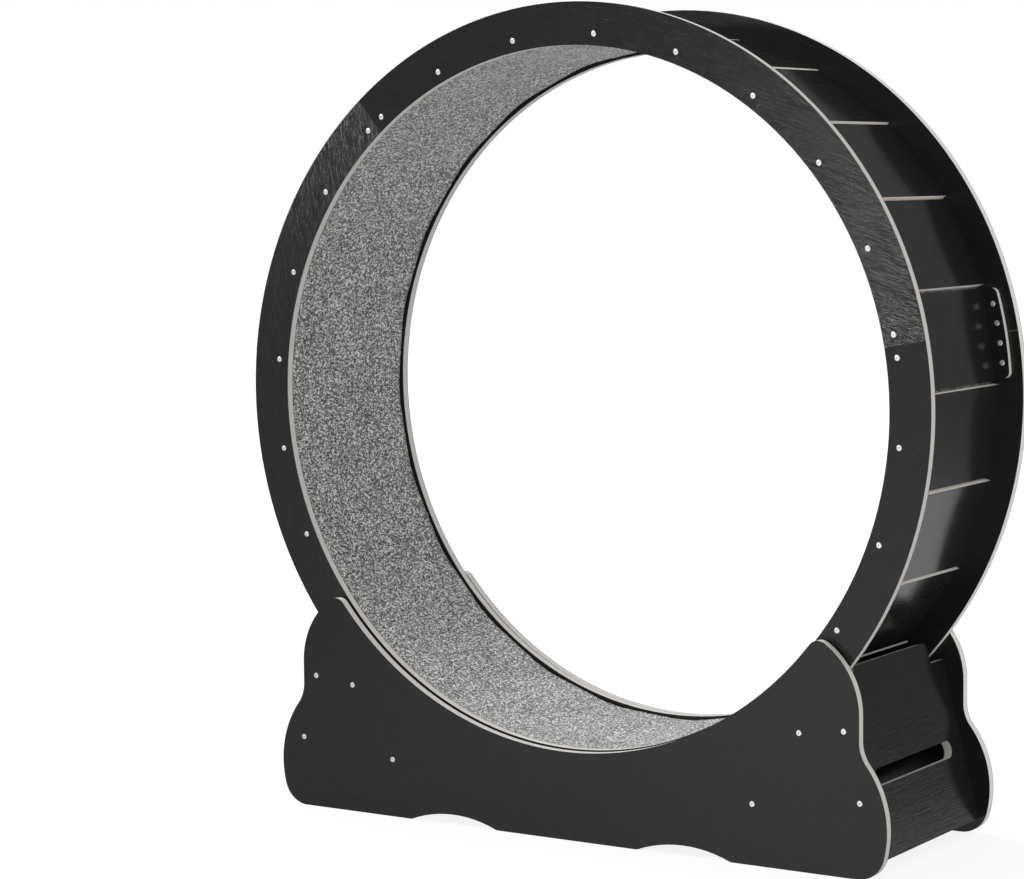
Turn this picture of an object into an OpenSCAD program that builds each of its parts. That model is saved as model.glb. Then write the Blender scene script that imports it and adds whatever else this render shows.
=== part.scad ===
// Exercise wheel for a cat: two plywood rings joined by slats and lined with carpet,
// turning on four grooved rollers in a free-standing base of plywood panels.
// Millimetres. The wheel turns about Y, its front faces -Y, +Z is up, and the origin is
// on the floor under the middle of the wheel.

/* [Wheel] */
// Outer diameter of the two rings
wheel_d = 1000; // [900:10:1200]
// Radial width of a ring
ring_w = 54; // [48:1:70]
// Thickness of the plywood of the rings, side panels, end boards and braces
board_t = 12; // [10:0.5:18]
// Width of the running track, between the two rings
track_w = 258; // [220:1:400]
// Angle of the first joint of a ring, seen from the front and counted from +X
joint_angle = 10; // [0:1:20]
// Open joint between two segments of a ring
joint_gap = 0.2; // [0.1:0.1:2]

/* [Track] */
// Number of slats, a multiple of three
slat_count = 24; // [24:3:30]
// Thickness of a slat
slat_t = 9; // [8:0.5:12]
// Open joint between two slats at their outer faces
slat_gap = 5; // [3:0.5:8]
// Depth of a slat's outer face below the rim of the rings, at the slat's middle
slat_depth = 35; // [30:1:37]
// Thickness of the carpet
carpet_t = 6; // [3:0.5:8]

/* [Joint plates] */
// Length of the plate that ties two ring segments together
plate_l = 114; // [90:1:116]
// Thickness of the plate
plate_t = 9; // [6:0.5:12]
// Depth of the plate's outer edge below the rim of the rings
plate_depth = 14; // [10:1:18]
// Radius of the plate's two outer corners
plate_corner_r = 8; // [2:0.5:10]
// Distance between two screws of the plate
plate_screw_pitch = 25; // [20:1:30]
// Depth of these screws below the rim of the rings
plate_screw_depth = 22.5; // [20:0.5:26]

/* [Base] */
// Height of the wheel's rim above the floor
floor_gap = 61.5; // [50:0.5:90]
// Gap between a ring and the side panel beside it
panel_gap = 3; // [2.5:0.5:8]
// Radial gap between the rings' inner edge and the arch of a side panel
arch_gap = 1.5; // [0:0.5:5]
// Angle of a side panel's upper tip below the horizontal through the wheel's axis
tip_angle = 39; // [36:0.5:42]
// Radius of the tip
tip_r = 15; // [8:0.5:18]
// Radius of the shoulder below the tip
shoulder_r = 102.5; // [80:0.5:115]
// Radius of the hollow at the waist
waist_r = 46; // [20:1:60]
// Radius of the bulge above a foot
foot_r = 128.5; // [110:0.5:150]
// Distance that the bulge stands out beyond the waist
foot_spread = 37; // [20:0.5:50]
// Height of the bulge's widest place
foot_rise = 59.5; // [45:0.5:65]
// Radius of the outer corner of a foot
corner_r = 36; // [15:1:44]
// Distance of the two notches under a panel from its middle
notch_x = 172.5; // [130:0.5:220]
// Width of a notch at the floor
notch_w = 134; // [80:1:160]
// Height of a notch
notch_h = 13; // [6:0.5:20]

/* [End boards] */
// Lean of an end board, its top towards the wheel
end_lean = 14.3; // [11:0.1:16]
// Height of an end board's lower screws above the floor
end_screw_h = 93; // [85:0.5:100]
// Distance between its lower and upper screws, along the board
end_screw_pitch = 88; // [70:1:92]
// Distance of the upper screws inside the waist of the panel
end_screw_inset = 20.5; // [18:0.5:30]
// Distance of the screws from the board's outer face
end_screw_depth = 4; // [3.5:0.5:6]
// Height of the board's lower edge above the floor
end_floor_gap = 21; // [10:1:30]
// Gap between the rim of the rings and the board's shoulders
rim_gap = 7.5; // [5:0.5:12]
// Height of the tongue that reaches up between the rings
tongue_h = 27; // [10:1:32]
// Distance of the tongue from the inner face of a ring
tongue_inset = 24; // [14:0.5:60]
// Radius of the tongue's upper corners
tongue_r = 12; // [3:1:14]
// Length of the hand slot
slot_l = 220; // [120:1:240]
// Height of the hand slot, along the board
slot_h = 22; // [18:1:30]
// Distance of the slot's middle above the lower screws, along the board
slot_rise = 21.6; // [16:0.2:40]

/* [Braces] */
// Distance of a brace from the middle of the base
brace_x = 269.5; // [240:0.5:290]
// Height of a brace's middle above the floor
brace_z = 76.5; // [60:0.5:80]
// Height of a brace board
brace_h = 60; // [40:1:64]

/* [Rollers] */
// Angle of the roller axles below the horizontal through the wheel's axis
roller_angle = 49.5; // [47:0.5:52]
// Radius of a roller at the bottom of its groove
groove_r = 13.5; // [13:0.1:16]
// Height of a roller's flanges above its groove
flange_h = 4; // [2:0.5:6]
// Thickness of a flange at its foot
flange_t = 2; // [1.5:0.1:2.1]
// Gap between a ring and the groove that carries it
groove_gap = 0.3; // [0.2:0.05:0.5]
// Diameter of the axle
axle_d = 8; // [6:0.5:9]
// Outer diameter of a ball bearing
bearing_d = 22; // [19:0.5:22.5]
// Width of a ball bearing
bearing_w = 7; // [5:0.5:8]
// Outer diameter of the spacer tubes on the axle
spacer_d = 12; // [11:0.5:14]

/* [Screws] */
// Diameter of a screw's shank
screw_d = 3.5; // [3:0.1:4]
// Diameter of a screw's head
head_d = 7; // [6:0.1:8]
// Length of the screws through the rings and the side panels
screw_l = 38; // [30:1:45]
// Length of the screws of the joint plates
plate_screw_l = 17; // [14:1:18]

/* [Hidden] */
// Smoothness of the drawn arcs, in degrees for one step
arc_step = 1;
// Overrun of every cut past the face that it opens
cut = 1;
// Clearance between a screw and its hole, on the radius
screw_clear = 0.05;
// Clearance between a turning or sliding fit's two faces, on the radius
fit_clear = 0.05;
// Clearance between the carpet and the slats that carry it
carpet_seat = 0.2;
// Clearance between the carpet's edge and a ring
carpet_edge = 1;
// Open seam where the carpet's two ends meet
carpet_seam = 1;
// Distance between the two screws in the slat at a ring's joint
joint_screw_pitch = 27.7;
// Depth of a screw's countersunk head, height of its dome, and its hexagonal socket
head_depth = 2.2;
dome_h = 0.5;
dome_r = 2.4;
socket_w = 2.8;
socket_depth = 1.7;
// Length of the point of a screw, and the radius of its end
point_l = 3;
point_r = 0.4;
// Direction from the middle of the tip's arc in which the shoulder's arc takes over, from +X
shoulder_angle = 57;
// Lip that holds a bearing in its roller, and the side clearance of the bearing there
lip_w = 1.7;
lip_clear = 0.3;
// Slope of a flange's inner wall
flange_draft = 0.6;
// Depth and width of the shield recess on a bearing's sides, and the wall beside it
shield_depth = 0.5;
race_wall = 2;

ring_count = 3;
segment_span = 360 / ring_count;
slat_span = 360 / slat_count;
slats_per_segment = slat_count / ring_count;

wheel_r = wheel_d / 2;
ring_inner_r = wheel_r - ring_w;
axle_z = wheel_r + floor_gap;
ring_face = track_w / 2;
ring_mid = ring_face + board_t / 2;
ring_outer_face = ring_face + board_t;
panel_face = ring_outer_face + panel_gap;
panel_outer_face = panel_face + board_t;

slat_out = wheel_r - slat_depth;
slat_in = slat_out - slat_t;
slat_mid = slat_out - slat_t / 2;
slat_w = 2 * slat_out * tan(slat_span / 2) - slat_gap;
carpet_out = slat_in - carpet_seat;
carpet_in = carpet_out - carpet_t;

plate_out = wheel_r - plate_depth;
plate_screw_r = wheel_r - plate_screw_depth;
plate_screw_angle = plate_screw_pitch / plate_screw_r * 180 / PI;
joint_gap_angle = joint_gap / (wheel_r - ring_w / 2) * 180 / PI;

arch_r = ring_inner_r + arch_gap;
tip_c = (arch_r + tip_r) * [cos(tip_angle), -sin(tip_angle)];
shoulder_c = tip_c - (shoulder_r - tip_r) * [cos(shoulder_angle), sin(shoulder_angle)];
waist_x = shoulder_c.x + shoulder_r;
foot_c = [waist_x + foot_spread - foot_r, foot_rise - axle_z];
waist_run = waist_x + waist_r - foot_c.x;
waist_c = [waist_x + waist_r, foot_c.y + sqrt(pow(waist_r + foot_r, 2) - pow(waist_run, 2))];
waist_angle = atan2(waist_c.y - foot_c.y, waist_run);
corner_drop = corner_r - foot_rise;
corner_run = sqrt(pow(foot_r - corner_r, 2) - pow(corner_drop, 2));
corner_c = [foot_c.x + corner_run, corner_r - axle_z];
corner_angle = atan2(corner_drop, corner_run);
notch_r = (pow(notch_w / 2, 2) + pow(notch_h, 2)) / (2 * notch_h);

end_high_x = waist_x - end_screw_inset;
end_low_x = end_high_x + end_screw_pitch * sin(end_lean);
end_high_h = end_screw_h + end_screw_pitch * cos(end_lean);
end_up = [-sin(end_lean), cos(end_lean)];
end_out = [cos(end_lean), sin(end_lean)];
end_inner = [end_low_x, end_screw_h - axle_z] + (end_screw_depth - board_t) * end_out;
rim_r = wheel_r + rim_gap;
shoulder_reach = end_inner * end_up;
rim_reach = pow(shoulder_reach, 2) - end_inner * end_inner + pow(rim_r, 2);
end_top = -shoulder_reach - sqrt(rim_reach);
end_bottom = (end_floor_gap - end_screw_h - end_screw_depth * end_out.y) / end_up.y;
tongue_w = 2 * (ring_face - tongue_inset);

roller_orbit = wheel_r + groove_gap + groove_r;
roller_x = roller_orbit * cos(roller_angle);
roller_z = axle_z - roller_orbit * sin(roller_angle);
groove_half = board_t / 2 + groove_gap;
roller_half = groove_half + flange_t;
flange_r = groove_r + flange_h;
bearing_r = bearing_d / 2;
roller_bore_r = bearing_r + fit_clear;

screw_r = screw_d / 2;
head_r = head_d / 2;
hole_r = screw_r + screw_clear;
base_screw_places = [
    [end_low_x, end_screw_h],
    [end_high_x, end_high_h],
    [roller_x, roller_z],
    [brace_x, brace_z]
];

black = "#2c2b2a";
steel = "#d9dadc";

function two(n) = n < 10 ? str("0", n) : str(n);
slat_names = [for (i = [1:slat_count]) str("track_slat_", two(i))];
front_segment_names = [for (i = [1:ring_count]) str("front_ring_segment_", i)];
rear_segment_names = [for (i = [1:ring_count]) str("rear_ring_segment_", i)];
front_plate_names = [for (i = [1:ring_count]) str("front_joint_plate_", i)];
rear_plate_names = [for (i = [1:ring_count]) str("rear_joint_plate_", i)];

$fn = 96;

// Points of an arc round c, both ends included
function arc(c, r, from, to) =
    let (steps = max(2, ceil(abs(to - from) / arc_step)))
    [for (i = [0:steps]) let (a = from + (to - from) * i / steps) c + r * [cos(a), sin(a)]];

function mirrored(points) =
    [for (i = [len(points) - 1:-1:0]) [-points[i].x, points[i].y]];

// Angle of the slat with number k, counted from the first ring joint
function slat_angle(k) = joint_angle + k * slat_span;

// Places of the screws in slat k, along the slat's width
function slat_screw_offsets(k) =
    k % slats_per_segment == 0 ? [-joint_screw_pitch / 2, joint_screw_pitch / 2] : [0];

// Wheel's own frame: X to the right, Y up, Z to the front, from the middle of the axis
module wheel_frame() {
    translate([0, 0, axle_z]) rotate([90, 0, 0]) children();
}

// A rear piece is its front piece mirrored
module rear() {
    mirror([0, 1, 0]) children();
}

module left() {
    mirror([1, 0, 0]) children();
}

// Screw along Z with its head's rim at z = 0 and its point below
module screw(l) {
    difference() {
        rotate_extrude() polygon([
            [0, -l], [point_r, -l], [screw_r, point_l - l], [screw_r, -head_depth],
            [head_r, 0], [dome_r, dome_h], [0, dome_h]]);
        translate([0, 0, dome_h - socket_depth])
            cylinder(d = socket_w, h = socket_depth + cut, $fn = 6);
    }
}

// Space of a screw: a countersink and a hole one clearance wider than the screw
module screw_hole(l) {
    slope = (head_r - screw_r) / head_depth;
    rotate_extrude() polygon([
        [0, -l - screw_clear], [hole_r, -l - screw_clear], [hole_r, -head_depth],
        [head_r + screw_clear, 0], [head_r + screw_clear + slope * cut, cut], [0, cut]]);
}

// Places of the screws that go through the front ring into slats from first to last
module at_slat_screws(first, last) {
    for (k = [first:last])
        rotate([0, 0, slat_angle(k)])
            for (offset = slat_screw_offsets(k))
                translate([slat_mid, offset, ring_outer_face]) children();
}

// Places of the screws that go through the front joint plate i into the ring
module at_plate_screws(i) {
    for (j = [-1.5:1:1.5])
        rotate([0, 0, joint_angle + i * segment_span + j * plate_screw_angle])
            translate([plate_screw_r, 0, ring_face - plate_t]) mirror([0, 0, 1]) children();
}

module ring_segment(i) {
    color(black) wheel_frame() difference() {
        translate([0, 0, ring_face])
            rotate([0, 0, joint_angle + i * segment_span + joint_gap_angle / 2])
                rotate_extrude(angle = segment_span - joint_gap_angle, $fn = 360)
                    translate([ring_inner_r, 0]) square([ring_w, board_t]);
        at_slat_screws(i * slats_per_segment, (i + 1) * slats_per_segment) screw_hole(screw_l);
        at_plate_screws(i) screw_hole(plate_screw_l);
        at_plate_screws(i + 1) screw_hole(plate_screw_l);
    }
}

module joint_plate(i) {
    half = plate_l / 2;
    corner_y = half - plate_corner_r;
    corner_x = sqrt(pow(plate_out - plate_corner_r, 2) - pow(corner_y, 2));
    turn = atan2(corner_y, corner_x);
    color(black) wheel_frame() difference() {
        rotate([0, 0, joint_angle + i * segment_span])
            translate([0, 0, ring_face - plate_t]) linear_extrude(plate_t)
                polygon(concat(
                    [[slat_out, half]],
                    arc([corner_x, corner_y], plate_corner_r, 90, turn),
                    arc([0, 0], plate_out, turn, -turn),
                    arc([corner_x, -corner_y], plate_corner_r, -turn, -90),
                    [[slat_out, -half]]));
        at_plate_screws(i) screw_hole(plate_screw_l);
    }
}

module track_slat(k) {
    color(black) wheel_frame() rotate([0, 0, slat_angle(k)]) difference() {
        translate([slat_in, -slat_w / 2, -ring_face]) cube([slat_t, slat_w, track_w]);
        for (side = [0, 1], offset = slat_screw_offsets(k))
            mirror([0, 0, side]) translate([slat_mid, offset, ring_outer_face])
                screw_hole(screw_l);
    }
}

// Corners of the polygon that the slats make, at the given distance from the axis
function track_polygon(inner) =
    [for (k = [0:slat_count - 1]) let (a = slat_angle(k + 1 / 2))
        inner / cos(slat_span / 2) * [cos(a), sin(a)]];

module carpet_lining() {
    width = track_w - 2 * carpet_edge;
    color("#8f8f8f") wheel_frame() translate([0, 0, -width / 2]) linear_extrude(width)
        difference() {
            polygon(track_polygon(carpet_out));
            polygon(track_polygon(carpet_in));
            rotate([0, 0, slat_angle(1 / 2)]) translate([0, -carpet_seam / 2])
                square([wheel_r, carpet_seam]);
        }
}

module slat_screws() {
    color(steel) wheel_frame() at_slat_screws(0, slat_count - 1) screw(screw_l);
}

module plate_screws() {
    color(steel) wheel_frame() for (i = [0:ring_count - 1]) at_plate_screws(i) screw(plate_screw_l);
}

// Outer edge of a side panel, from its right tip down to its right foot
panel_edge = concat(
    arc(tip_c, tip_r, 180 - tip_angle, shoulder_angle),
    arc(shoulder_c, shoulder_r, shoulder_angle, 0),
    arc(waist_c, waist_r, 180, 180 + waist_angle),
    arc(foot_c, foot_r, waist_angle, corner_angle),
    arc(corner_c, corner_r, corner_angle, -90));
panel_outline = concat(
    panel_edge, mirrored(panel_edge),
    arc([0, 0], arch_r, 180 + tip_angle, 360 - tip_angle));

// Places of the screws in the front panel, with their heads at its outer face
module at_base_screws() {
    for (side = [0, 1], place = base_screw_places)
        mirror([side, 0, 0]) translate([place.x, -panel_outer_face, place.y])
            rotate([90, 0, 0]) children();
}

module side_panel() {
    color(black) difference() {
        wheel_frame() translate([0, 0, panel_face]) difference() {
            linear_extrude(board_t) polygon(panel_outline);
            for (side = [-1, 1])
                translate([side * notch_x, notch_h - notch_r - axle_z, -cut])
                    cylinder(r = notch_r, h = board_t + 2 * cut, $fn = 360);
        }
        at_base_screws() screw_hole(screw_l);
    }
}

// Outline of an end board on its own plane, from the level of its lower screws
module end_board_outline() {
    reach = slot_l / 2 - slot_h / 2;
    corner = tongue_w / 2 - tongue_r;
    difference() {
        union() {
            translate([-panel_face, end_bottom]) square([2 * panel_face, end_top - end_bottom]);
            translate([-tongue_w / 2, 0]) square([tongue_w, end_top + tongue_h - tongue_r]);
            translate([-corner, 0]) square([2 * corner, end_top + tongue_h]);
            for (side = [-1, 1])
                translate([side * corner, end_top + tongue_h - tongue_r]) circle(r = tongue_r);
        }
        translate([-reach, slot_rise - slot_h / 2]) square([2 * reach, slot_h]);
        for (side = [-1, 1]) translate([side * reach, slot_rise]) circle(d = slot_h);
    }
}

module end_board() {
    color(black) difference() {
        translate([end_low_x, 0, end_screw_h]) rotate([0, -end_lean, 0])
            translate([end_screw_depth - board_t, 0, 0]) rotate([90, 0, 90])
                linear_extrude(board_t) end_board_outline();
        at_base_screws() screw_hole(screw_l);
        rear() at_base_screws() screw_hole(screw_l);
    }
}

module cross_brace() {
    color(black) difference() {
        translate([brace_x - board_t / 2, -panel_face, brace_z - brace_h / 2])
            cube([board_t, 2 * panel_face, brace_h]);
        at_base_screws() screw_hole(screw_l);
        rear() at_base_screws() screw_hole(screw_l);
    }
}

// Frame of the right axle: its own axis is Z and points to the front
module axle_frame() {
    translate([roller_x, 0, roller_z]) rotate([90, 0, 0]) children();
}

module roller_axle() {
    color(steel) difference() {
        axle_frame() cylinder(d = axle_d, h = 2 * panel_face, center = true);
        at_base_screws() screw_hole(screw_l);
        rear() at_base_screws() screw_hole(screw_l);
    }
}

module tube(outer_d, l) {
    difference() {
        cylinder(d = outer_d, h = l);
        translate([0, 0, -cut]) cylinder(d = axle_d + 2 * fit_clear, h = l + 2 * cut);
    }
}

module spacer_set() {
    inner_l = 2 * (ring_mid - bearing_w / 2);
    outer_l = panel_face - ring_mid - bearing_w / 2;
    color(steel) axle_frame() {
        translate([0, 0, -inner_l / 2]) tube(spacer_d, inner_l);
        for (side = [0, 1]) mirror([0, 0, side]) translate([0, 0, panel_face - outer_l])
            tube(spacer_d, outer_l);
    }
}

module axle_spacers() {
    spacer_set();
    left() spacer_set();
}

module bearing() {
    bore = axle_d / 2 + fit_clear;
    half = bearing_w / 2;
    floor_z = half - shield_depth;
    color(steel) rotate_extrude() polygon([
        [bore, -half], [bore + race_wall, -half], [bore + race_wall, -floor_z],
        [bearing_r - race_wall, -floor_z], [bearing_r - race_wall, -half], [bearing_r, -half],
        [bearing_r, half], [bearing_r - race_wall, half], [bearing_r - race_wall, floor_z],
        [bore + race_wall, floor_z], [bore + race_wall, half], [bore, half]]);
}

module roller_bearings() {
    for (turn = [0, 1], side = [0, 1])
        mirror([turn, 0, 0]) mirror([0, side, 0]) axle_frame() translate([0, 0, ring_mid])
            bearing();
}

module roller() {
    lip_r = bearing_r - lip_w;
    seat = bearing_w / 2 + lip_clear;
    color("#3a3a3c") axle_frame() translate([0, 0, ring_mid]) rotate_extrude() polygon([
        [lip_r, -roller_half], [flange_r, -roller_half], [flange_r, -groove_half - flange_draft],
        [groove_r, -groove_half], [groove_r, groove_half], [flange_r, groove_half + flange_draft],
        [flange_r, roller_half], [lip_r, roller_half], [lip_r, seat], [roller_bore_r, seat],
        [roller_bore_r, -seat], [lip_r, -seat]]);
}

module base_screws() {
    color(steel) {
        at_base_screws() screw(screw_l);
        rear() at_base_screws() screw(screw_l);
    }
}

for (i = [0:ring_count - 1]) {
    ring_segment(i);
    rear() ring_segment(i);
    joint_plate(i);
    rear() joint_plate(i);
}
for (k = [0:slat_count - 1])
    track_slat(k);
carpet_lining();
slat_screws();  // front_slat_screws
rear() slat_screws();  // rear_slat_screws
plate_screws();  // front_plate_screws
rear() plate_screws();  // rear_plate_screws
side_panel();  // front_side_panel
rear() side_panel();  // rear_side_panel
left() end_board();  // left_end_board
end_board();  // right_end_board
left() cross_brace();  // left_cross_brace
cross_brace();  // right_cross_brace
left() roller_axle();  // left_roller_axle
roller_axle();  // right_roller_axle
axle_spacers();
roller_bearings();
base_screws();
left() roller();  // front_left_roller
roller();  // front_right_roller
rear() left() roller();  // rear_left_roller
rear() roller();  // rear_right_roller
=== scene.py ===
"""Looks of an exercise wheel for a cat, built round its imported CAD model, in metres.

The boards are plywood with a black film on both faces, embossed like wood grain, and with
raw edges. The drum is lined with one strip of grey carpet, which is modelled here.
"""
import math

import bpy
import numpy as np
from mathutils import Matrix, Vector


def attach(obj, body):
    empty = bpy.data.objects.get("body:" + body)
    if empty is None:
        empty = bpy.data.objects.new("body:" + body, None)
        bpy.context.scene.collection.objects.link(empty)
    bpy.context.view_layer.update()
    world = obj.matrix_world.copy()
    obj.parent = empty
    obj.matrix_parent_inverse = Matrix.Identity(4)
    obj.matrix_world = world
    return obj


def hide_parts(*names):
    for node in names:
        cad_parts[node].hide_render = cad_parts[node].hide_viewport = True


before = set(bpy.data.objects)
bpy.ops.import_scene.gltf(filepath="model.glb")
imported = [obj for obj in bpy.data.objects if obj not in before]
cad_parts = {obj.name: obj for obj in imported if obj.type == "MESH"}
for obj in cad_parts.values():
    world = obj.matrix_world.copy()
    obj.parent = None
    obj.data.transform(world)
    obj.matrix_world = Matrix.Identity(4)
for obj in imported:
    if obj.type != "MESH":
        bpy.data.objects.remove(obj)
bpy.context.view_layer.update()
node_names = sorted(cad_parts)

# Camera: place, heading left of +Y, pitch above the horizon and roll in degrees, lens in mm
CAMERA_PLACE = (1.9512, -3.2747, 0.8483)
CAMERA_HEADING = 33.028
CAMERA_PITCH = -5.193
CAMERA_ROLL = -0.516
CAMERA_LENS = 102.95
CAMERA_SENSOR = 36
CAMERA_CLIP = 60

# Wheel: height of its axis, and the slats that make its drum
AXLE_Z = 0.5615
JOINT_ANGLE = 10
SEGMENTS = 3
SLATS = 24
SLAT_SPAN = 360 / SLATS
END_LEAN = 14.3

# Carpet: distances of its back and its pile from the axis, width, seam and bend
CARPET_BACK = 0.4558
CARPET_PILE = 0.4490
CARPET_WIDTH = 0.256
CARPET_SEAM = 0.001
CARPET_BEND = 0.030
# Mesh of the pile, how far its loops rise and sink, and how much of that is chance, up to
# CHANCE_LIMIT, and how much is every second loop
LOOPS_PER_SLAT = 44
LOOPS_ACROSS = 90
LOOP_RISE = 0.0004
CHANCE_SHARE = 0.55
CHANCE_LIMIT = 1.8
STAGGER_SHARE = 0.45
EDGE_DROP = 0.0006
CARPET_SEED = 7
# Span of most values of a noise pattern
NOISE_SPAN = (0.3, 0.7)


class Graph:
    """Adds nodes to a tree. Each call returns an output that later calls can take."""

    def __init__(self, tree):
        self.tree = tree

    def feed(self, socket, value):
        if isinstance(value, bpy.types.NodeSocket):
            self.tree.links.new(value, socket)
        else:
            socket.default_value = value

    def add(self, kind, values=None, output=0, **settings):
        node = self.tree.nodes.new("ShaderNode" + kind)
        for name, value in settings.items():
            setattr(node, name, value)
        for key, value in (values or {}).items():
            self.feed(node.inputs[key], value)
        return node.outputs[output] if node.outputs else None

    def math(self, operation, *values):
        return self.add("Math", dict(enumerate(values)), operation=operation)

    def vector(self, operation, *values):
        output = "Value" if operation in ("DOT_PRODUCT", "LENGTH") else "Vector"
        return self.add("VectorMath", dict(enumerate(values)), output, operation=operation)

    def combine(self, x, y, z):
        return self.add("CombineXYZ", {0: x, 1: y, 2: z})

    def span(self, value, low, high, to_low=0.0, to_high=1.0, kind="LINEAR"):
        """Value from low to high, carried over to to_low to to_high and held there."""
        numbers = {0: value, 1: low, 2: high, 3: to_low, 4: to_high}
        return self.add("MapRange", numbers, interpolation_type=kind)

    def mix(self, share, first, second):
        """Colour from first, at share 0, to second, at share 1."""
        colours = {0: share, 6: first, 7: second}
        return self.add("Mix", colours, 2, data_type="RGBA")

    def noise(self, vector, detail=2.0, roughness=0.5):
        values = {"Vector": vector, "Scale": 1.0, "Detail": detail, "Roughness": roughness}
        return self.add("TexNoise", values)


class Paint(Graph):
    """A material with one Principled shader."""

    def __init__(self, name, **constants):
        self.material = bpy.data.materials.new(name)
        self.material.use_nodes = True
        super().__init__(self.material.node_tree)
        self.shader = self.tree.nodes["Principled BSDF"]
        for socket, value in constants.items():
            self.shader.inputs[socket.replace("_", " ")].default_value = value
        self.place = self.add("TexCoord", output="Object")
        self.normal = self.add("TexCoord", output="Normal")

    def speckle(self, pitch, detail=2.0):
        """Noise, alike in all directions, with pitch turns a metre."""
        return self.noise(self.vector("MULTIPLY", self.place, (pitch,) * 3), detail)

    def finish(self, colour, roughness, height, depth):
        """Links the pattern to the shader. depth is the relief in metres at height 1."""
        self.feed(self.shader.inputs["Base Color"], colour)
        self.feed(self.shader.inputs["Roughness"], roughness)
        relief = self.add("Bump", {"Strength": 1.0, "Distance": depth, "Height": height})
        self.feed(self.shader.inputs["Normal"], relief)
        return self.material


def grey(level, warmth=0.0):
    """Colour of that level, warmer towards orange or, below 0, colder towards blue."""
    return (level * (1 + warmth), level, level * (1 - warmth), 1.0)


def dress(names, material):
    for name in names:
        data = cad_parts[name].data
        data.materials.clear()
        data.materials.append(material)


def chosen(text):
    return [name for name in node_names if text in name]


# Boards

FILM_DARK = grey(0.0115, -0.02)
FILM_LIGHT = grey(0.0165, 0.02)
RAW_LIGHT = (0.76, 0.73, 0.685, 1.0)
RAW_DARK = (0.54, 0.515, 0.475, 1.0)
# Raw edges that face the wheel's axis, inside the drum, are made greyer and darker: painted
# shade. The outer ones at the back and between the slats are made paler: painted highlight.
PAINTED_SHADE_WITHIN = 0.449
PAINTED_SHADE = (0.93, 0.94, 0.97)
# Painted highlight on the outer raw edges at the back and between the slats
PAINTED_LIGHT_BEYOND = 0.455
PAINTED_LIGHT_BEHIND = 0.115
PAINTED_LIGHT = (1.28, 1.29, 1.32)
# Embossed streaks of the film and finer pores between them: their size, the span of noise
# that makes them, and how far the grain wanders, with its turns for each metre
STREAK_LENGTH = 0.020
STREAK_WIDTH = 0.0010
STREAK_SPAN = (0.36, 0.64)
PORE_LENGTH = 0.012
PORE_WIDTH = 0.0010
PORE_SPAN = (0.58, 0.70)
PORE_SHARE = -0.12
GRAIN_WANDER = 0.003
WANDER_ALONG = 5.0
WANDER_ACROSS = 14.0
# Patches of the film, for each metre, that are glossier or duller by these shares
CLOUDS = 30.0
GLOSSY_SHARE = 0.88
DULL_SHARE = 1.12
# Raw edges: thickness of a ply, fibres for each metre, and how much of each shows
PLY = 0.0013
PLY_SPAN = (-0.6, 0.6)
PLY_SHARE = 0.45
EDGE_FIBRES = 420.0
EDGE_FIBRE_SHARE = 0.5
EDGE_ROUGHNESS = 0.78
EDGE_RELIEF_SHARE = 0.25
# Dark line that the film and its glue make along a raw edge
FILM_RIM = 0.0009
GLUE = (0.10, 0.09, 0.08, 1.0)
# Width, on each side, of the pale line where the film is chipped at the rear ring's joint
CHIP = 0.0007
# A face is a broad one where its normal is within 60 degrees of the board's
BROAD_FROM = 0.5

# Depth of the embossed grain in metres, and gloss, of each kind of board. The line of the
# right joint, carried on across the axis, would cross the left segment, which has no chip.
LEFT_SEGMENT = 2
RING_RELIEF = 0.00007
LEFT_RELIEF = 0.000085
RING_ROUGHNESS = 0.145
RING_STREAK = 0.06
PLATE_RELIEF = 0.000025
PLATE_ROUGHNESS = 0.2
SLAT_RELIEF = 0.000016
SLAT_ROUGHNESS = 0.16
SLAT_IOR = 1.55
PANEL_RELIEF = 0.000012
END_RELIEF = 0.00005
END_STREAK = 0.05
BRACE_RELIEF = 0.00004


def rim_of(paint, names, level, through):
    """1 on a raw edge, close to the broad faces of these nodes, and 0 in its middle."""
    depths = np.abs([vertex.co.dot(through)
                     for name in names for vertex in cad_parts[name].data.vertices])
    level = paint.math("ABSOLUTE", level)
    low = paint.math("LESS_THAN", level, float(depths.min()) + FILM_RIM)
    high = paint.math("GREATER_THAN", level, float(depths.max()) - FILM_RIM)
    return paint.math("MAXIMUM", low, high)


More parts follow.
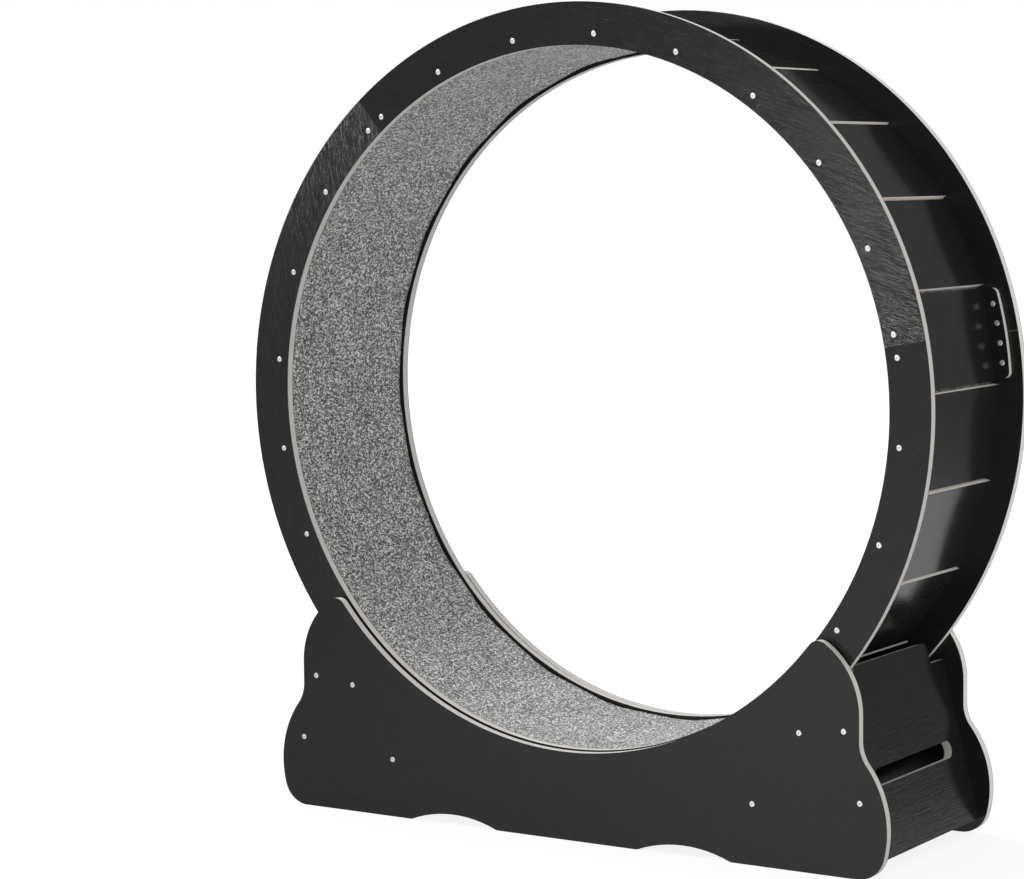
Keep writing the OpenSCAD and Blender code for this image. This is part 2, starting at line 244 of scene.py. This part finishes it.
def board(names, name, along, face, relief, roughness=0.15, ior=1.38, joints=(),
          streak=STREAK_LENGTH):
    """Plywood with a black film on its faces, given to the CAD nodes in names.

    along is the direction of the grain. face is the normal of the two broad faces, or
    None for the slats, whose broad faces look towards the wheel's axis and away from it.
    relief is the depth of the embossed grain in metres, and streak the length of its
    streaks. joints are the angles round the wheel's axis at which the rear ring's film is
    chipped.
    """
    paint = Paint(name, IOR=ior)
    along = Vector(along).normalized()
    spoke = paint.vector("SUBTRACT", paint.place, (0.0, 0.0, AXLE_Z))
    spoke = paint.vector("MULTIPLY", spoke, (1.0, 0.0, 1.0))
    from_axis = paint.vector("LENGTH", spoke)
    if face is None:
        level = from_axis
        broad = paint.vector("DOT_PRODUCT", paint.normal, paint.vector("NORMALIZE", spoke))
        through = Vector((0, 0, 1))
    else:
        through = Vector(face).normalized()
        level = paint.vector("DOT_PRODUCT", paint.place, tuple(through))
        broad = paint.vector("DOT_PRODUCT", paint.normal, tuple(through))
    across = through.cross(along)
    rim = rim_of(paint, names, level, through) if face else 0.0
    u = paint.vector("DOT_PRODUCT", paint.place, tuple(along))
    v = paint.vector("DOT_PRODUCT", paint.place, tuple(across))
    w = paint.vector("DOT_PRODUCT", paint.place, tuple(through))
    film = paint.math("GREATER_THAN", paint.math("ABSOLUTE", broad), BROAD_FROM)
    depth = paint.add("SeparateXYZ", {0: paint.place}, "Y")
    rear = paint.math("GREATER_THAN", depth, 0.0)
    for angle in joints:
        normal = (-math.sin(math.radians(angle)), 0.0, math.cos(math.radians(angle)))
        distance = paint.math("ABSOLUTE", paint.vector("DOT_PRODUCT", spoke, normal))
        chip = paint.math("MULTIPLY", paint.math("LESS_THAN", distance, CHIP), rear)
        film = paint.math("MULTIPLY", film, paint.math("SUBTRACT", 1.0, chip))

    drift = paint.noise(paint.combine(
        paint.math("MULTIPLY", u, WANDER_ALONG),
        paint.math("MULTIPLY", v, WANDER_ACROSS), w), detail=1.0)
    v = paint.math("MULTIPLY_ADD", drift, GRAIN_WANDER, v)

    def grain(length, width, detail):
        return paint.noise(paint.combine(
            paint.math("DIVIDE", u, length),
            paint.math("DIVIDE", v, width),
            paint.math("DIVIDE", w, width)), detail)

    streaks = paint.span(grain(streak, STREAK_WIDTH, detail=2.0), *STREAK_SPAN)
    pores = paint.span(grain(PORE_LENGTH, PORE_WIDTH, detail=1.0), *PORE_SPAN)
    cloud = paint.speckle(CLOUDS)
    film_height = paint.math("MULTIPLY_ADD", pores, PORE_SHARE, streaks)
    film_colour = paint.mix(streaks, FILM_DARK, FILM_LIGHT)
    film_rough = paint.span(cloud, *NOISE_SPAN, GLOSSY_SHARE * roughness, DULL_SHARE * roughness)

    fibres = paint.speckle(EDGE_FIBRES)
    wave = paint.math("SINE", paint.math("MULTIPLY", level, math.pi / PLY))
    plies = paint.span(wave, *PLY_SPAN, 0.0, PLY_SHARE)
    tone = paint.math("MULTIPLY_ADD", paint.span(fibres, *NOISE_SPAN), EDGE_FIBRE_SHARE, plies)
    raw_colour = paint.mix(tone, RAW_LIGHT, RAW_DARK)
    # Painted shade: raw edges near the wheel's axis, inside the drum, are greyer and darker
    painted_shade = paint.math("LESS_THAN", from_axis, PAINTED_SHADE_WITHIN)
    # Painted highlight: outer raw edges at the back, and the slats' outer edges, are paler
    behind = paint.math("GREATER_THAN", depth, PAINTED_LIGHT_BEHIND) if face else 1.0
    painted_light = paint.math("MULTIPLY", paint.math("GREATER_THAN", from_axis, PAINTED_LIGHT_BEYOND), behind)
    raw_colour = paint.mix(painted_shade, raw_colour, paint.vector("MULTIPLY", raw_colour, PAINTED_SHADE))
    raw_colour = paint.mix(painted_light, raw_colour, paint.vector("MULTIPLY", raw_colour, PAINTED_LIGHT))
    raw_colour = paint.mix(rim, raw_colour, GLUE)

    colour = paint.mix(film, raw_colour, film_colour)
    rough = paint.span(film, 0.0, 1.0, EDGE_ROUGHNESS, film_rough)
    edge_height = paint.math("MULTIPLY", fibres, EDGE_RELIEF_SHARE)
    height = paint.span(film, 0.0, 1.0, edge_height, film_height)
    dress(names, paint.finish(colour, rough, height, relief))


# Metal and plastic

NICKEL = (0.96, 0.96, 0.97, 1.0)
ZINC = (0.74, 0.76, 0.78, 1.0)
STEEL = (0.62, 0.62, 0.63, 1.0)
TARNISH_SHARE = 0.86
TARNISH_SPAN = (0.35, 0.65)
# Patches of tarnish for each mark, and how far a mark is glossier or duller
TARNISH_PITCH = 0.12
MARK_GLOSS = 0.06
MARK_DULL = 0.08

NYLON = 0.045
NYLON_IOR = 1.5
NYLON_RELIEF = 0.00004
NYLON_MARKS = 1800.0
NYLON_CLOUDS = 90.0
NYLON_SHARES = (0.85, 1.15)
NYLON_SPREAD = 0.05


def metal(name, colour, roughness, grain, relief, metallic=1.0):
    """Metal with fine marks, grain metres apart."""
    paint = Paint(name, Metallic=metallic)
    marks = paint.speckle(1 / grain, detail=3.0)
    cloud = paint.speckle(TARNISH_PITCH / grain)
    tarnished = tuple(TARNISH_SHARE * c for c in colour[:3]) + (1.0,)
    tint = paint.mix(paint.span(cloud, *TARNISH_SPAN), tarnished, colour)
    rough = paint.span(marks, *NOISE_SPAN, roughness - MARK_GLOSS, roughness + MARK_DULL)
    return paint.finish(tint, rough, marks, relief)


def nylon(name, level, roughness):
    """Moulded plastic with a fine spark-eroded texture."""
    paint = Paint(name, IOR=NYLON_IOR)
    marks = paint.speckle(NYLON_MARKS)
    cloud = paint.speckle(NYLON_CLOUDS)
    tint = paint.mix(cloud, *(grey(level * share) for share in NYLON_SHARES))
    rough = paint.span(marks, *NOISE_SPAN, roughness - NYLON_SPREAD, roughness + NYLON_SPREAD)
    return paint.finish(tint, rough, marks, NYLON_RELIEF)


# Carpet

YARN_DARK = grey(0.018, 0.01)
YARN_MIDDLE = grey(0.19, 0.015)
YARN_LIGHT = grey(0.88, 0.02)
# Lengths along the strip and widths across it, and the share of each in the yarn's tone
LOOP_LENGTH = 0.0015
LOOP_WIDTH = 0.0026
LOOP_SHARE = 0.44
FIBRE_LENGTH = 0.0008
FIBRE_WIDTH = 0.00128
FIBRE_SPAN = (0.25, 0.75)
FIBRE_SHARE = 0.42
SLUB_LENGTH = 0.0028
SLUB_WIDTH = 0.005
SLUB_SHARE = 0.20
PATCH_LENGTH = 0.06
PATCH_WIDTH = 0.05
PATCH_SHARE = 0.08
ROW_WIDTH = 0.0055
ROW_SHARE = 0.02
# Tones between which the yarn runs from dark to middle, and from middle to light
DARK_SPAN = (0.41, 0.59)
LIGHT_SPAN = (0.59, 0.775)
CARPET_IOR = 1.4
CARPET_SHEEN = 0.5
CARPET_ROUGHNESS = 0.92
CARPET_RELIEF = 0.0006
LOOP_EDGE = 0.8


def carpet_paint():
    """Grey carpet of dark and light yarns, in faint rows along the strip."""
    paint = Paint("carpet", IOR=CARPET_IOR, Sheen_Weight=CARPET_SHEEN,
                  Sheen_Roughness=CARPET_SHEEN)
    from_axis = paint.vector("SUBTRACT", paint.place, (0.0, 0.0, AXLE_Z))
    x, y, z = (paint.add("SeparateXYZ", {0: from_axis}, axis) for axis in "XYZ")
    along = paint.math("MULTIPLY", paint.math("ARCTAN2", z, x), CARPET_PILE)

    def place(length, width):
        return paint.combine(
            paint.math("DIVIDE", along, length), paint.math("DIVIDE", y, width), 0.0)

    cells = paint.add("TexVoronoi", {"Vector": place(LOOP_LENGTH, LOOP_WIDTH), "Scale": 1.0},
                      "Color", voronoi_dimensions="2D")
    yarn = paint.add("SeparateColor", {0: cells}, "Red")
    middle = cells.node.outputs["Distance"]
    fibres = paint.noise(place(FIBRE_LENGTH, FIBRE_WIDTH), detail=3.0, roughness=0.6)
    slubs = paint.noise(place(SLUB_LENGTH, SLUB_WIDTH))
    patches = paint.noise(place(PATCH_LENGTH, PATCH_WIDTH))
    rows = paint.math("SINE", paint.math("MULTIPLY", y, 2 * math.pi / ROW_WIDTH))

    tone = paint.math("MULTIPLY", yarn, LOOP_SHARE)
    for pattern, share in ((paint.span(fibres, *FIBRE_SPAN), FIBRE_SHARE),
                           (paint.span(slubs, *NOISE_SPAN), SLUB_SHARE),
                           (patches, PATCH_SHARE), (rows, ROW_SHARE)):
        tone = paint.math("MULTIPLY_ADD", pattern, share, tone)
    dark_half = paint.mix(paint.span(tone, *DARK_SPAN), YARN_DARK, YARN_MIDDLE)
    colour = paint.mix(paint.span(tone, *LIGHT_SPAN), dark_half, YARN_LIGHT)

    # A loop is high in its middle and sinks towards its edge
    height = paint.math("SUBTRACT", fibres, paint.span(middle, 0.0, LOOP_EDGE))
    return paint.finish(colour, CARPET_ROUGHNESS, height, CARPET_RELIEF)


def carpet_mesh():
    """One strip inside the slats, from seam to seam, with its loops as real relief."""
    rng = np.random.default_rng(CARPET_SEED)
    half_span = math.radians(SLAT_SPAN / 2)
    half_flat = CARPET_BACK * math.tan(half_span)
    columns = SLATS * LOOPS_PER_SLAT
    run = np.linspace(0, 2 * half_flat * SLATS, columns + 1)
    run[0] += CARPET_SEAM / 2
    run[-1] -= CARPET_SEAM / 2
    slat = np.minimum((run / (2 * half_flat)).astype(int), SLATS - 1)
    offset = run - (2 * slat + 1) * half_flat
    turn = np.radians(JOINT_ANGLE + (slat + 1) * SLAT_SPAN)
    out = np.stack([np.cos(turn), np.zeros_like(turn), np.sin(turn)], 1)
    side = np.stack([-np.sin(turn), np.zeros_like(turn), np.cos(turn)], 1)
    near = np.clip(CARPET_BEND - (half_flat - np.abs(offset)), 0, None)
    bend = math.tan(half_span) * near ** 2 / (2 * CARPET_BEND)

    across = np.linspace(-CARPET_WIDTH / 2, CARPET_WIDTH / 2, LOOPS_ACROSS + 1)
    loops = rng.normal(0, 1, (columns + 1, LOOPS_ACROSS + 1))
    stagger = np.add.outer(np.arange(columns + 1), np.arange(LOOPS_ACROSS + 1)) % 2
    rise = LOOP_RISE * (CHANCE_SHARE * np.clip(loops, -CHANCE_LIMIT, CHANCE_LIMIT)
                        + STAGGER_SHARE * (2 * stagger - 1))
    rim = np.minimum(np.arange(columns + 1), np.arange(columns + 1)[::-1])[:, None]
    rim = np.minimum(rim, np.minimum(np.arange(LOOPS_ACROSS + 1),
                                     np.arange(LOOPS_ACROSS + 1)[::-1])[None, :])
    rise -= EDGE_DROP * (rim == 0)
    radius = CARPET_PILE - bend[:, None] - rise
    shrink = (radius / CARPET_BACK)[:, :, None]
    pile = (out[:, None, :] * radius[:, :, None] + side[:, None, :] * shrink
            * offset[:, None, None])
    pile = pile + across[None, :, None] * np.array([0, 1, 0])
    back_line = out * (CARPET_BACK - bend)[:, None] + side * offset[:, None]
    ends = np.array([[0, -CARPET_WIDTH / 2, 0], [0, CARPET_WIDTH / 2, 0]])
    back = back_line[:, None, :] + ends[None, :, :]

    points = np.concatenate([pile.reshape(-1, 3), back.reshape(-1, 3)])
    points[:, 2] += AXLE_Z
    wide = LOOPS_ACROSS + 1
    top = np.arange((columns + 1) * wide).reshape(columns + 1, wide)
    low = len(top.ravel()) + np.arange((columns + 1) * 2).reshape(columns + 1, 2)

    def quads(a, b, c, d):
        return np.stack([a, b, c, d], -1).reshape(-1, 4)

    faces = [
        quads(top[:-1, :-1], top[1:, :-1], top[1:, 1:], top[:-1, 1:]),
        quads(low[:-1, 1], low[1:, 1], low[1:, 0], low[:-1, 0]),
        quads(top[1:, 0], top[:-1, 0], low[:-1, 0], low[1:, 0]),
        quads(top[:-1, -1], top[1:, -1], low[1:, 1], low[:-1, 1]),
    ]
    faces = [tuple(int(i) for i in f) for f in np.concatenate(faces)]
    faces.append(tuple(int(i) for i in [*top[0], low[0, 1], low[0, 0]]))
    faces.append(tuple(int(i) for i in [*top[-1][::-1], low[-1, 0], low[-1, 1]]))
    mesh = bpy.data.meshes.new("carpet_strip")
    mesh.from_pydata(points.tolist(), [], faces)
    mesh.update()
    mesh.polygons.foreach_set("use_smooth", [len(f) == 4 for f in faces])
    return mesh, 2 * half_flat * SLATS - CARPET_SEAM


for number in range(1, SEGMENTS + 1):
    middle = JOINT_ANGLE + (number - 0.5) * 360 / SEGMENTS
    chord = math.radians(middle + 90)
    board(chosen(f"ring_segment_{number}"), f"ring_film_{number}",
          (math.cos(chord), 0, math.sin(chord)), (0, 1, 0),
          LEFT_RELIEF if number == LEFT_SEGMENT else RING_RELIEF, RING_ROUGHNESS,
          joints=() if number == LEFT_SEGMENT else (JOINT_ANGLE,), streak=RING_STREAK)
    joint = math.radians(JOINT_ANGLE + (number - 1) * 360 / SEGMENTS + 90)
    board(chosen(f"joint_plate_{number}"), f"plate_film_{number}",
          (math.cos(joint), 0, math.sin(joint)), (0, 1, 0), PLATE_RELIEF, PLATE_ROUGHNESS)
board(chosen("track_slat_"), "slat_film", (0, 1, 0), None, SLAT_RELIEF, SLAT_ROUGHNESS,
      SLAT_IOR)
board(chosen("side_panel"), "panel_film", (1, 0, 0), (0, 1, 0), PANEL_RELIEF)
lean = math.radians(END_LEAN)
for side, direction in (("right", 1), ("left", -1)):
    board([f"{side}_end_board"], f"{side}_end_film", (0, 1, 0),
          (direction * math.cos(lean), 0, math.sin(lean)), END_RELIEF, streak=END_STREAK)
board(chosen("cross_brace"), "brace_film", (0, 1, 0), (1, 0, 0), BRACE_RELIEF)
dress(chosen("_screws"), metal("nickel", NICKEL, roughness=0.36, grain=0.0004, relief=0.00002,
                               metallic=0.75))
dress(["roller_bearings"], metal("bearing", STEEL, roughness=0.22, grain=0.0006, relief=0.00001))
# The names of the rollers' axles hold _roller too, so their metal comes after the nylon
dress(chosen("_roller"), nylon("nylon", NYLON, roughness=0.42))
dress(chosen("axle"), metal("zinc", ZINC, roughness=0.32, grain=0.0008, relief=0.00002))

mesh, carpet_length = carpet_mesh()
carpet = bpy.data.objects.new("carpet", mesh)
bpy.context.scene.collection.objects.link(carpet)
mesh.materials.append(carpet_paint())
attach(carpet, "wheel")
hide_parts("carpet_lining")


# Floor, light and camera

FLOOR_SIZE = 16
FLOOR_DROP = 0.0005
FLOOR_WHITE = grey(0.66)
FLOOR_MOTTLE = grey(0.68)
FLOOR_MOTTLES = 3.0
# The rays that show the background see it glow: a share of the glow near the object, where
# the shadow lies, and the glow alone beyond FADE_TO
LIFT_NEAR = 0.78
LIFT_STRENGTH = 1.12
FADE_FROM = 1.3
FADE_TO = 3.2
# Where glossy rays meet it, the floor's glow is darker to the left of the object and far behind
# it: painted shade, where the studio's light falls off
SHADE_SIDE = (-0.839, 0.545, 0.0)
SHADE_SPAN = (-0.4, 0.5)
SHADE_LEVEL = 0.28
BACK_SPAN = (1.2, 2.4)
BACK_SHARE = 0.3


def seen_directly(graph):
    """1 for the rays that show the background: camera, glossy and transmission rays."""
    rays = [graph.add("LightPath", output=name)
            for name in ("Is Camera Ray", "Is Glossy Ray", "Is Transmission Ray")]
    return graph.math("MAXIMUM", graph.math("MAXIMUM", rays[0], rays[1]), rays[2])


def make_floor():
    half = FLOOR_SIZE / 2
    mesh = bpy.data.meshes.new("floor")
    mesh.from_pydata([(-half, -half, -FLOOR_DROP), (half, -half, -FLOOR_DROP),
                      (half, half, -FLOOR_DROP), (-half, half, -FLOOR_DROP)],
                     [], [(0, 1, 2, 3)])
    floor = bpy.data.objects.new("floor", mesh)
    bpy.context.scene.collection.objects.link(floor)
    material = bpy.data.materials.new("floor")
    material.use_nodes = True
    material.node_tree.nodes.clear()
    graph = Graph(material.node_tree)
    place = graph.add("TexCoord", output="Object")
    mottle = graph.noise(graph.vector("MULTIPLY", place, (FLOOR_MOTTLES,) * 3))
    colour = graph.mix(mottle, FLOOR_WHITE, FLOOR_MOTTLE)
    matt = graph.add("BsdfDiffuse", {"Color": colour})
    # Painted shade in the glow that glossy rays see, darker to the left and far behind
    side = graph.vector("DOT_PRODUCT", place, SHADE_SIDE)
    far = graph.add("SeparateXYZ", {0: place}, "Y")
    light = graph.math("MULTIPLY", graph.span(side, *SHADE_SPAN, LIFT_STRENGTH, SHADE_LEVEL),
                       graph.span(far, *BACK_SPAN, 1.0, BACK_SHARE))
    camera = graph.add("LightPath", output="Is Camera Ray")
    light = graph.span(camera, 0.0, 1.0, light, LIFT_STRENGTH)
    glow = graph.add("Emission", {"Color": grey(1.0), "Strength": light})
    reach = graph.vector("LENGTH", place)
    share = graph.span(reach, FADE_FROM, FADE_TO, LIFT_NEAR, 1.0, "SMOOTHSTEP")
    share = graph.math("MULTIPLY", share, seen_directly(graph))
    graph.add("OutputMaterial", {"Surface": graph.add("MixShader", {0: share, 1: matt, 2: glow})})
    mesh.materials.append(material)


# Studio: grey level from left to right for soft light, and from front to back for glossy
# rays, and a white sweep behind the object, as wide and as high as the camera needs it
STUDIO_LEFT = 0.42
STUDIO_RIGHT = 0.95
GLOSS_FRONT = 0.27
GLOSS_BEHIND = 0.18
GLOSS_SPAN = (-0.1, 0.35)
SWEEP_SIDE = (0.74, 0.86)
SWEEP_TOP = (0.07, 0.16)


def make_world():
    world = bpy.data.worlds.new("studio")
    bpy.context.scene.world = world
    world.use_nodes = True
    world.node_tree.nodes.clear()
    graph = Graph(world.node_tree)
    towards = graph.add("TexCoord", output="Generated")
    heading = math.radians(CAMERA_HEADING)
    ahead = graph.vector("DOT_PRODUCT", towards, (-math.sin(heading), math.cos(heading), 0.0))
    low = graph.span(graph.add("SeparateXYZ", {0: towards}, "Z"), *SWEEP_TOP, 1.0, 0.0)
    sweep = graph.math("MULTIPLY", graph.span(ahead, *SWEEP_SIDE), low)
    behind = graph.add("SeparateXYZ", {0: towards}, "Y")
    room = graph.span(behind, *GLOSS_SPAN, GLOSS_FRONT, GLOSS_BEHIND)
    gloss = graph.span(sweep, 0.0, 1.0, room, 1.0)
    camera = graph.add("LightPath", output="Is Camera Ray")
    direct = seen_directly(graph)
    right = graph.add("SeparateXYZ", {0: towards}, "X")
    soft = graph.span(right, -1.0, 1.0, STUDIO_LEFT, STUDIO_RIGHT)
    level = graph.span(direct, 0.0, 1.0, soft, gloss)
    level = graph.span(camera, 0.0, 1.0, level, 1.0)
    glow = graph.add("Background", {"Color": grey(1.0), "Strength": level})
    graph.add("OutputWorld", {"Surface": glow})


# Sun-like lamp, low and to the left of the camera, that the embossed grain catches
GLINT_FROM = (-0.344, -0.936, 0.073)
GLINT_ANGLE = 0.06
GLINT_POWER = 0.23

# Two equal softboxes high on the left, one in front of the wheel and one behind it
SOFTBOXES = {"top_front": (-2.2, -1.6, 3.0), "top_rear": (-2.2, 1.6, 3.0)}
SOFTBOX_TARGET = (0.0, 0.0, 0.3)
SOFTBOX_SIZE = 1.5
SOFTBOX_POWER = 72


def make_glint():
    data = bpy.data.lights.new("glint", "SUN")
    data.angle = GLINT_ANGLE
    data.energy = GLINT_POWER
    lamp = bpy.data.objects.new("glint", data)
    bpy.context.scene.collection.objects.link(lamp)
    lamp.rotation_euler = Vector(GLINT_FROM).to_track_quat("Z", "Y").to_euler()


def softbox(name, place):
    """Square area lamp, aimed at the target."""
    data = bpy.data.lights.new(name, "AREA")
    data.size = SOFTBOX_SIZE
    data.energy = SOFTBOX_POWER
    lamp = bpy.data.objects.new(name, data)
    bpy.context.scene.collection.objects.link(lamp)
    lamp.location = place
    aim = Vector(SOFTBOX_TARGET) - Vector(place)
    lamp.rotation_euler = aim.to_track_quat("-Z", "Y").to_euler()


def make_camera():
    data = bpy.data.cameras.new("camera")
    data.sensor_width = CAMERA_SENSOR
    data.lens = CAMERA_LENS
    data.clip_end = CAMERA_CLIP
    camera = bpy.data.objects.new("camera", data)
    bpy.context.scene.collection.objects.link(camera)
    camera.matrix_world = (
        Matrix.Translation(CAMERA_PLACE)
        @ Matrix.Rotation(math.radians(CAMERA_HEADING), 4, "Z")
        @ Matrix.Rotation(math.radians(90 + CAMERA_PITCH), 4, "X")
        @ Matrix.Rotation(math.radians(CAMERA_ROLL), 4, "Z"))
    bpy.context.scene.camera = camera


make_floor()
make_world()
make_camera()
make_glint()
for name, place in SOFTBOXES.items():
    softbox(name, place)
bpy.context.scene.view_settings.view_transform = "Standard"
